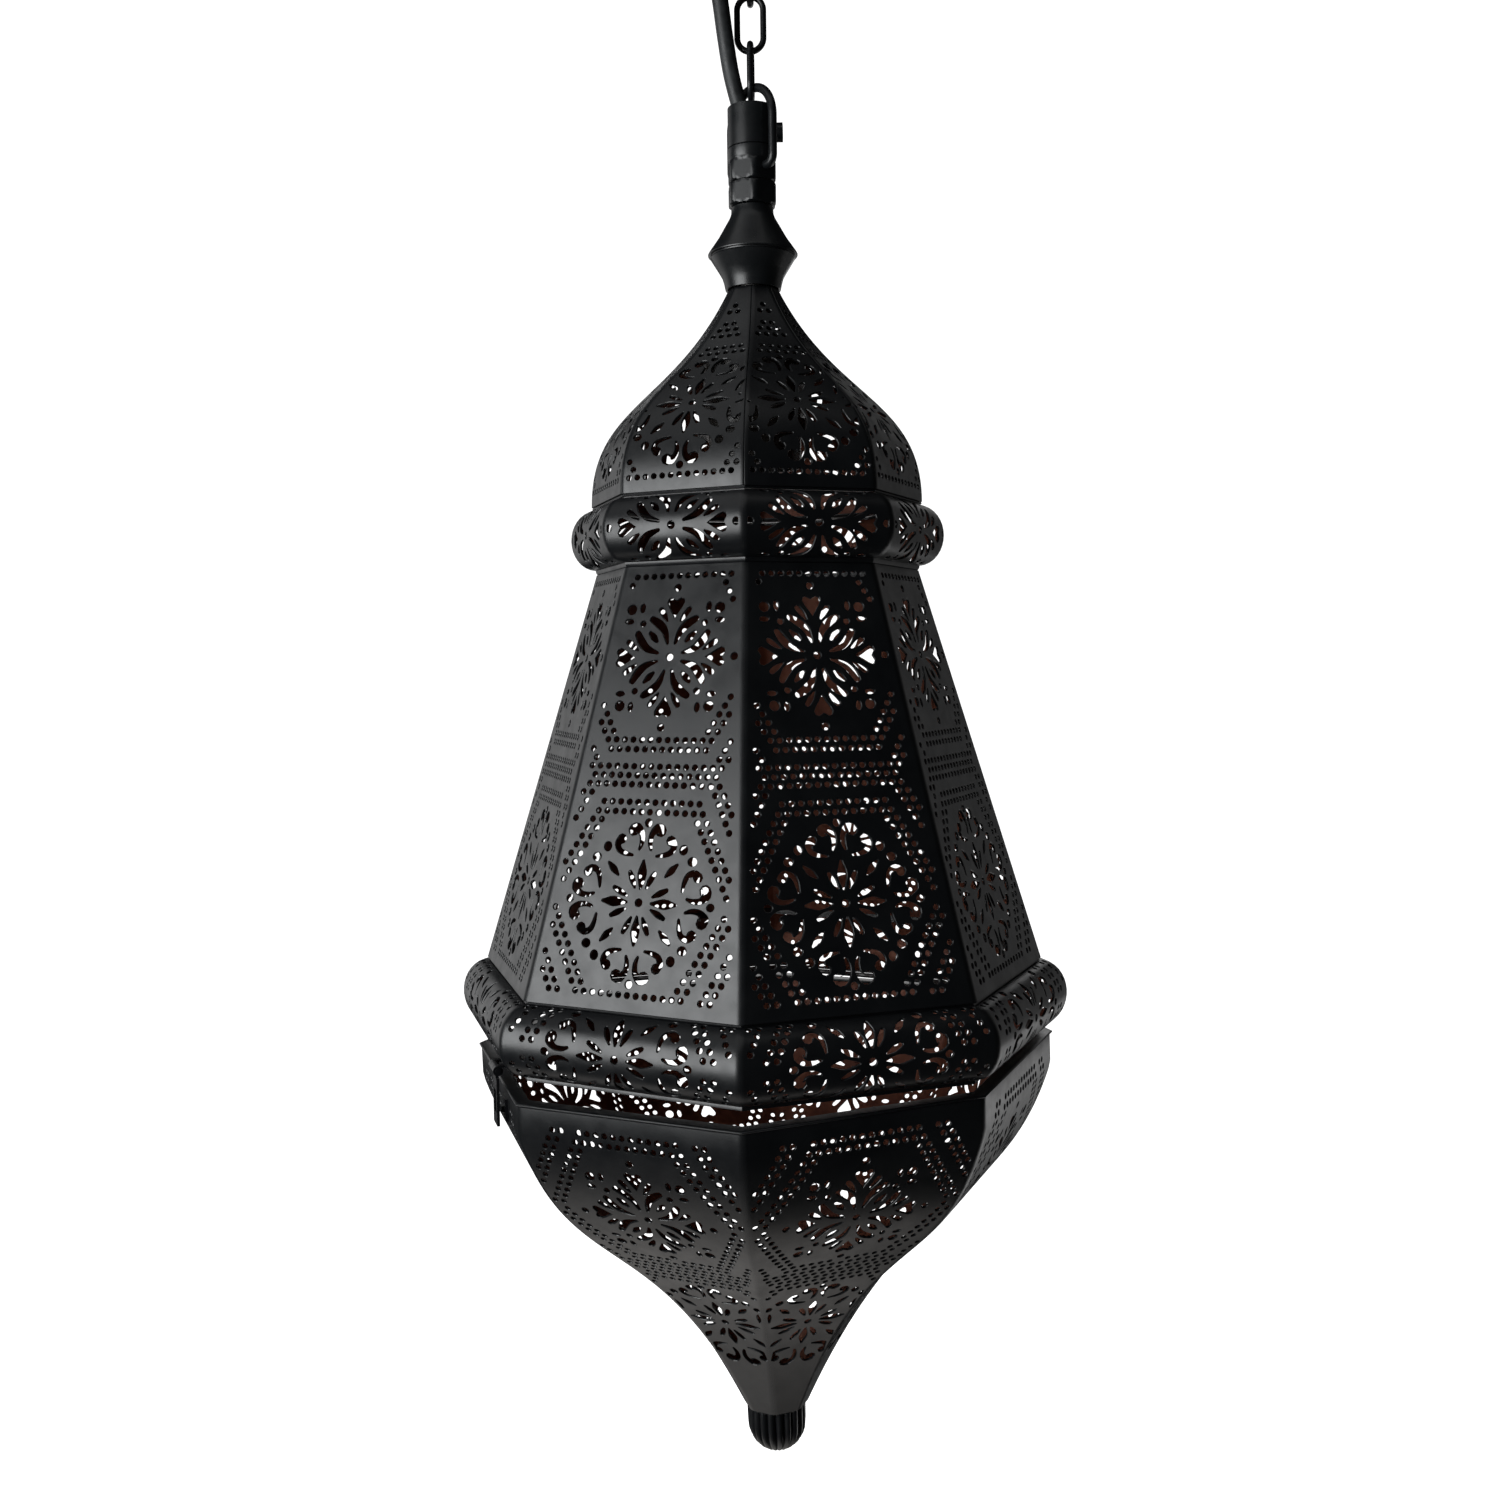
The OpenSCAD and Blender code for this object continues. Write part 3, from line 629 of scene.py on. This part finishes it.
def thick_sheet(outline, flat, tris):
    """The flat sheet bent, with its thickness and rounded cut edges. Returns points, the
    sheet's normals at the points, faces, and for each face whether it is inside and
    whether it is a broad face."""
    edges = rim_edges(tris)
    rim = np.unique(edges)
    row = np.full(len(flat), -1)
    row[rim] = np.arange(len(rim))
    run = flat[edges[:, 1]] - flat[edges[:, 0]]
    away = np.column_stack([run[:, 1], -run[:, 0]])
    away /= np.linalg.norm(away, axis=1)[:, None].clip(1e-9)
    out = np.zeros((len(rim), 2))
    for end in (0, 1):
        np.add.at(out, row[edges[:, end]], away)
    out /= np.linalg.norm(out, axis=1)[:, None].clip(1e-6)
    across, up = flat[rim].T
    at_seam = np.abs(across) > outline.half_width(-up) - outline.inset() - 1e-4
    out[at_seam, 0] = outline.groove * np.sign(across[at_seam])

    layers = [flat]
    depths = [np.zeros(len(flat))]
    for outward, down in RIM:
        layers.append(flat[rim] + out * outward)
        depths.append(np.full(len(rim), down))
    back = flat.copy()
    back[rim] += out * RIM_OUT
    layers.append(back)
    depths.append(np.full(len(flat), SHEET))
    every = np.vstack(layers)
    points, normals = bend(outline, every[:, 0], -every[:, 1], np.concatenate(depths))

    first = len(flat)
    last = first + len(RIM) * len(rim)
    rings = [rim, *(first + k * len(rim) + np.arange(len(rim)) for k in range(len(RIM))),
             last + rim]
    front_faces = [tuple(t) for t in tris]
    rim_faces = [(above[j], above[i], below[i], below[j])
                 for above, below in zip(rings, rings[1:]) for i, j in row[edges]]
    back_faces = [tuple(last + t[::-1]) for t in tris]
    kinds = np.repeat([0, 1, 2], [len(front_faces), len(rim_faces), len(back_faces)])
    return points, normals, front_faces + rim_faces + back_faces, kinds == 2, kinds != 1


FIRST_FACE = -67.5  # degrees from +X to the face to the right of the -Y corner


def turned(points, face):
    """Points of the face that looks along +X, moved to one of the eight faces."""
    angle = math.radians(FIRST_FACE + 45 * (face - 1))
    c, s = math.cos(angle), math.sin(angle)
    x, y, z = np.asarray(points).T
    return np.column_stack([x * c - y * s, x * s + y * c, z])


def shade_sheet(piece, normals, inside, broad):
    """Broad faces are shaded with the bent sheet's own normals, and cut edges with the
    normals that Blender finds for them, which is what a zero normal asks for."""
    mesh = piece.data
    vertex = np.empty(len(mesh.loops), np.int32)
    mesh.loops.foreach_get("vertex_index", vertex)
    corners = np.empty(len(mesh.polygons), np.int32)
    mesh.polygons.foreach_get("loop_total", corners)
    sign = np.where(broad, np.where(inside, -1.0, 1.0), 0.0)
    mesh.normals_split_custom_set((normals[vertex] * np.repeat(sign, corners)[:, None]).tolist())


def pierced_panels(names, outline, holes, row_step, body, materials, move=None):
    """Eight separate pieces of one bent pierced sheet, named names_1 to names_8."""
    flat, tris = flat_sheet(outline, holes, row_step)
    points, normals, faces, inside, broad = thick_sheet(outline, flat, tris)
    for face in range(1, 9):
        places, outward = turned(points, face), turned(normals, face)
        if move is not None:
            places, outward = move(places), move(outward) - move(np.zeros((1, 3)))
        name = f"{names}_{face}"
        piece = add_piece("sheet_" + name, places, faces, body, [name],
                          materials, index=inside, smooth=broad)
        shade_sheet(piece, outward, inside, broad)


def pierced_ring(name, outline, holes, row_step, body, materials):
    """The same, with the eight sections joined into one piece."""
    flat, tris = flat_sheet(outline, holes, row_step)
    points, normals, faces, inside, broad = thick_sheet(outline, flat, tris)
    inside, broad = np.tile(inside, 8), np.tile(broad, 8)
    ring = []
    for face in range(8):
        ring += [tuple(face * len(points) + i for i in f) for f in faces]
    places = np.vstack([turned(points, face) for face in range(1, 9)])
    outward = np.vstack([turned(normals, face) for face in range(1, 9)])
    piece = add_piece("sheet_" + name, places, ring, body, [name], materials,
                      index=inside, smooth=broad)
    shade_sheet(piece, outward, inside, broad)


# ---------------------------------------------------------------- the lantern's sheets

BODY_TOP_R, BODY_BOTTOM_R = 61.4, 107.0  # radii are over the corners
BODY_H = 147.0
DOOR_R, DOOR_Z = 110.3, -28.0  # the door's upper edge
AJAR = math.radians(1.7)  # how far the door stands open in the photograph
HINGE_ANGLE = math.radians(22.5)  # of the face that carries the hinge
HINGE_A, HINGE_Z = 105.0, -29.2

DOME = Outline(over_flats(bezier([(9.8, 252), (30.9, 210.4), (62.9, 210.9), (62.9, 172.4)], 60)),
               groove=1.3)
BODY = Outline(over_flats([(BODY_TOP_R, BODY_H), (BODY_BOTTOM_R, 0)]))
DOOR = Outline(over_flats(np.vstack([
    [(DOOR_R, DOOR_Z - 1.2)],
    bezier([(DOOR_R, -40.5), (92, -97), (55.6, -85.5), (13, -173)], 80)])))
UPPER_RING = Outline(over_flats(half_oval(BODY_TOP_R + 0.2, 159.9, 9.4, 22.6)))
LOWER_RING = Outline(over_flats(half_oval(BODY_BOTTOM_R - 0.7, -13.2, 10.5, 24.8)))


def door_ajar(points):
    """Door parts are drawn shut, and swung open a little about the hinge."""
    c, s = math.cos(HINGE_ANGLE), math.sin(HINGE_ANGLE)
    pivot = Vector((HINGE_A * c, HINGE_A * s, HINGE_Z))
    swing = (Matrix.Translation(pivot) @ Matrix.Rotation(AJAR, 4, Vector((s, -c, 0)))
             @ Matrix.Translation(-pivot))
    m = np.array(swing)
    return np.asarray(points) @ m[:3, :3].T + m[:3, 3]


BODY_SHIFT, DOME_SHIFT = 1.2, 0.8  # the pattern lies this far to one side of a face


def body_holes():
    holes = placed(flower(), -33) + placed(rosette(), -117) + band(-74.3)
    holes += placed(honeycomb(29.0), -33) + placed(honeycomb(30.3), -117)
    holes = [hole - (BODY_SHIFT, 0) for hole in holes]
    return keep_holes(holes, BODY, side_margin=2.2, top=3.6, bottom=149.5, dot_margin=3.7)


def dome_holes():
    squeeze = (1.0, 0.935)  # to fit the dome's height
    holes = placed(rosette() + honeycomb(30.3), -62.3, squeeze)
    for y, count in ((-24.2, 4), (-21, 3), (-18, 2), (-12, 2), (-9, 1)):
        holes += dot_row(y, count)
    holes = [hole - (DOME_SHIFT, 0) for hole in holes]
    return keep_holes(holes, DOME, side_margin=1.2, top=7.5, bottom=91.5)


def door_holes():
    holes = placed(flower(), -40) + placed(rosette(), -117) + band(-77.2)
    holes += placed(honeycomb(28.9), -38.6) + placed(honeycomb(30.3), -117)
    return keep_holes(holes, DOOR, side_margin=1.2, top=5.0, bottom=142.0)


def ring_holes(outline, pattern):
    holes = placed(pattern, -outline.length / 2)
    return keep_holes(holes, outline, side_margin=1.6, top=2.0, bottom=outline.length - 2.0)


def make_sheets(paint):
    sheet = [paint["outside"], paint["inside"]]
    upper = ring_holes(UPPER_RING, flower())
    lower = ring_holes(LOWER_RING, rosette() + honeycomb(30.3))
    pierced_panels("dome_panel", DOME, dome_holes(), 2.6, "pendant", sheet)
    pierced_panels("body_panel", BODY, body_holes(), 9.0, "pendant", sheet)
    pierced_panels("door_panel", DOOR, door_holes(), 3.4, "door", sheet, door_ajar)
    pierced_ring("upper_ring", UPPER_RING, upper, 1.9, "pendant", sheet)
    pierced_ring("lower_ring", LOWER_RING, lower, 2.0, "pendant", sheet)


def octagon_ring(name, profile, body, replaces, material, move=None):
    """A closed outline of (radius over corners, height) swept round the octagon."""
    points, faces = [], []
    rows = len(profile)
    for corner in range(8):
        angle = math.radians(-90 + 45 * corner)
        points += [(r * math.cos(angle), r * math.sin(angle), z) for r, z in profile]
        other = (corner + 1) % 8
        for j in range(rows):
            k = (j + 1) % rows
            faces.append((corner * rows + j, other * rows + j,
                          other * rows + k, corner * rows + k))
    points = np.array(points)
    if move is not None:
        points = move(points)
    return crease(add_piece(name, points, faces, body, replaces, [material]))


def make_frames(paint):
    """The flat frames, and the lips where the solder closes the rings' joints."""
    black = paint["outside"]
    octagon_ring("dome_rim_plate", [(62.3, 172.2), (62.4, 171.9), (62.2, 171.55), (54.2, 171.5),
                                    (54.0, 171.9), (54.2, 172.3), (60.9, 172.3), (61.0, 173.4),
                                    (61.7, 173.4), (61.75, 172.3)],
                 "pendant", ["dome_rim"], black)
    octagon_ring("upper_ring_top_lip",
                 [(61.5, 170.5), (61.5, 171.4), (60.8, 171.4), (60.8, 170.5)],
                 "pendant", ["upper_ring"], black)
    octagon_ring("upper_ring_lip", [(59.4, 145.9), (60.15, 145.9), (60.2, 146.9), (60.9, 147.1),
                                    (61.3, 147.6), (61.5, 148.5), (61.5, 149.3), (59.4, 149.3)],
                 "pendant", ["upper_ring"], black)
    octagon_ring("lower_ring_lip", [(104.7, -1.6), (106.1, -1.6), (106.1, -0.9), (105.6, -0.3),
                                    (105.45, 1.0), (104.7, 1.2)], "pendant", ["lower_ring"], black)
    octagon_ring("lower_frame_plate", [(106.1, -25.6), (106.3, -26.0), (106.25, -27.2),
                                       (105.9, -27.35), (105.5, -27.2), (105.4, -26.4),
                                       (100, -26.4), (99.8, -26), (100, -25.6)],
                 "pendant", ["lower_frame"], black)
    bead = [(110.2 + 0.8 * math.cos(t), DOOR_Z - 0.55 + 0.55 * math.sin(t))
            for t in np.radians([90, 60, 30, 0, -30, -60, -90])]
    octagon_ring("door_rim_bead", bead + [(105.6, DOOR_Z - 1.1), (105.5, DOOR_Z - 0.55),
                                          (105.6, DOOR_Z)], "door", ["door_rim"], black, door_ajar)


# ---------------------------------------------------------------- turned pieces

COLLAR_WALL = 0.8
COLLAR_BORE = 5.3
HEX_R = 9.8  # over the corners
HEX_TURN = math.radians(10)  # the middle of one flat
FLANGE_Z = 298.8  # the hanger's flange is above this
FLUTES = 20
FLUTE_DEPTH = 0.13  # as a share of the radius
FLUTE_ROUND = 0.7  # below 1 the lobes are flatter and the grooves narrower
FLUTE_TOP = -173.9
FINIAL_WALL = 1.2


def make_collar(paint):
    upper = [(5.3, 282.5), (7.5, 282.5), (7.85, 282.1), (7.95, 280), (8.5, 278.4), (9.6, 276.5),
             (12.9, 270.8), (16.35, 265.9), (16.8, 265.1), (16.75, 264.75), (16.3, 264.6),
             (15.7, 264.7)]
    lower = [(15.6, 264.3), (15.9, 263.8), (12.9, 259), (11.5, 256.6), (10.9, 254.6),
             (10.4, 252.2)]
    inner = [(max(r - COLLAR_WALL, COLLAR_BORE), min(z, 281.7))
             for r, z in (upper[:-4] + lower)[:0:-1]]
    lathe("turned_collar", upper + lower + inner, "pendant", ["collar"],
          paint["fittings"])


def hexagon_shape(size, turn):
    """For a lathe: flats of a hexagon of that size over its corners, below the flange.
    The profile's own radius cuts off the corners, as on a real nut."""
    def shape(angle, radius, height):
        if height > FLANGE_Z:
            return radius
        past_flat = (angle - turn + math.pi / 6) % (math.pi / 3) - math.pi / 6
        return min(radius, size * math.cos(math.pi / 6) / math.cos(past_flat))
    return shape


def make_hexagons(paint):
    flats = hexagon_shape(HEX_R, HEX_TURN)
    lathe("hanger_body_turned",
          [(4.35, 303.6), (8.7, 303.6), (9.1, 303.2), (9.15, 300.1), (8.9, 299.4), (8.75, 298.95),
           (9.1, 298.6), (9.5, 297.6), (9.5, 292.4), (9.1, 291.5), (8.6, 291.15), (5.15, 291.15),
           (5.1, 297.9), (4.35, 298.2)],
          "pendant", ["hanger_body"], paint["fittings"], shape=flats, steps=120)
    lathe("lock_nut_turned",
          [(5.15, 290.9), (8.5, 290.9), (9.1, 290.5), (9.5, 289.7), (9.5, 283.9), (9.1, 283.1),
           (8.5, 282.7), (5.15, 282.7)],
          "pendant", ["lock_nut"], paint["fittings"], shape=flats, steps=120)


def finial_shape(angle, radius, height):
    """Flutes that start below the finial's rim and fade out towards its tip."""
    if radius < 0.5 or height > FLUTE_TOP:
        return radius
    lobe = abs(math.sin(FLUTES / 2 * angle)) ** FLUTE_ROUND
    fade = min(1.0, radius / 4.0)
    return radius * (1 - FLUTE_DEPTH * fade * (1 - lobe))


def make_finial(paint):
    ball = [(11.4 * math.cos(t), -181.2 + 11.5 * math.sin(t))
            for t in np.radians([0, -12, -24, -36, -48, -60, -72, -82, -89])]
    outer = [(10.9, -173.2), (11.35, -173.5), (11.5, -174.2), (11.5, -177)] + ball
    inner = [(max(r - FINIAL_WALL, 0.05), z + FINIAL_WALL * (z < -178))
             for r, z in outer[::-1]]
    lathe("fluted_finial", outer + inner, "door", ["finial"], paint["outside"],
          steps=200, shape=finial_shape, move=door_ajar)


# ---------------------------------------------------------------- cord

def tube(path, radius, sides=16):
    """Points and faces of a closed round tube along a line of points."""
    path = np.asarray(path, float)
    along = np.gradient(path, axis=0)
    along /= np.linalg.norm(along, axis=1)[:, None]
    across = np.cross(along, (0, 1, 0))
    across /= np.linalg.norm(across, axis=1)[:, None]
    other = np.cross(across, along)
    turn = 2 * np.pi * np.arange(sides) / sides
    rings = (path[:, None] + radius * (np.cos(turn)[None, :, None] * across[:, None]
                                       + np.sin(turn)[None, :, None] * other[:, None]))
    points = rings.reshape(-1, 3)
    faces = []
    for i in range(len(path) - 1):
        for j in range(sides):
            k = (j + 1) % sides
            faces.append((i * sides + j, (i + 1) * sides + j,
                          (i + 1) * sides + k, i * sides + k))
    faces.append(tuple(range(sides)))
    faces.append(tuple(range(len(points) - 1, len(points) - sides - 1, -1)))
    return points, faces


def make_cord(paint):
    route = smooth_line(CORD_ROUTE[::-1], 6)
    points, faces = tube(route, CORD_D / 2)
    mesh = bpy.data.meshes.new("supply_cord")
    mesh.from_pydata((points * MM).tolist(), [], faces)
    mesh.materials.append(paint["cord"])
    mesh.polygons.foreach_set("use_smooth", np.ones(len(mesh.polygons), bool))
    cord = bpy.data.objects.new("supply_cord", mesh)
    bpy.context.scene.collection.objects.link(cord)
    crease(cord, 50)
    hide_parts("cord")
    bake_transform(cord)


# ---------------------------------------------------------------- carried-over nodes

NODE_PAINT = {
    "fittings": ["canopy_screws", "canopy_eye", "chain_link_1", "chain_link_2", "chain_link_3",
                 "hanger_bail", "cord_grip", "grip_screw"],
    "outside": ["ceiling_canopy", "hinge_leaf_upper", "hinge_leaf_door", "latch_bracket",
                "latch_strap", "latch_staple"],
    "zinc": ["canopy_bracket", "eye_nut", "threaded_nipple", "fixing_nut", "hinge_pin"],
    "bakelite": ["cord_bush", "lampholder_cap", "lampholder_body", "shade_ring"],
    "porcelain": ["terminal_block", "lamp_contacts"],
}


def paint_nodes(paint):
    """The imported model's own pieces keep their meshes and get materials."""
    for key, names in NODE_PAINT.items():
        for name in names:
            slots = nodes[name].data.materials
            slots.clear()
            slots.append(paint[key])


make_camera()
paint = make_materials()
make_cord(paint)
make_studio()
make_sheets(paint)
make_frames(paint)
make_collar(paint)
make_hexagons(paint)
make_finial(paint)
paint_nodes(paint)
